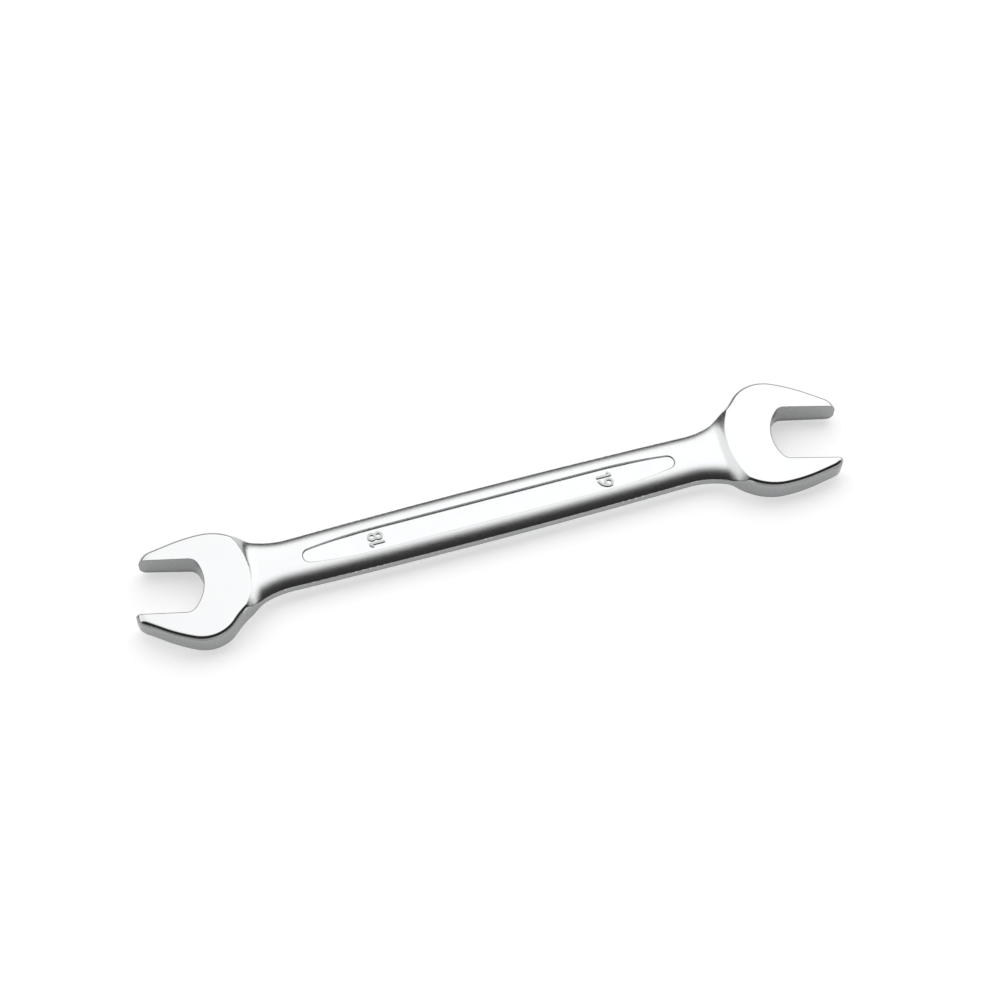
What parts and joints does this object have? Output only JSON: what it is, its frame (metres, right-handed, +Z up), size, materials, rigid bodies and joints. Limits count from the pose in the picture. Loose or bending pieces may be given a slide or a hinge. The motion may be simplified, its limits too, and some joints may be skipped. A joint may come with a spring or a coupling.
{
  "type": "double open-end wrench",
  "caption": "Chrome-plated double open-end wrench: a recessed shank with slanted open jaws for 18 mm and 19 mm nuts.",
  "frame": {"origin": "under the middle of the overall length, in the plane that the tool lies on", "axes": "+X runs along the shank from the 18 mm head to the 19 mm head, +Y lies across it, +Z is up"},
  "size_m": [0.2266, 0.0394, 0.0085],
  "materials": {
    "polished_chrome": "polished chrome plate",
    "satin_chrome": "satin chrome plate"
  },
  "bodies": {
    "root": {"head_18": "polished_chrome", "shank": "satin_chrome", "head_19": "polished_chrome", "mark_18_one": "satin_chrome", "mark_18_eight": "satin_chrome", "mark_19_one": "satin_chrome", "mark_19_nine": "satin_chrome"}
  },
  "joints": []
}
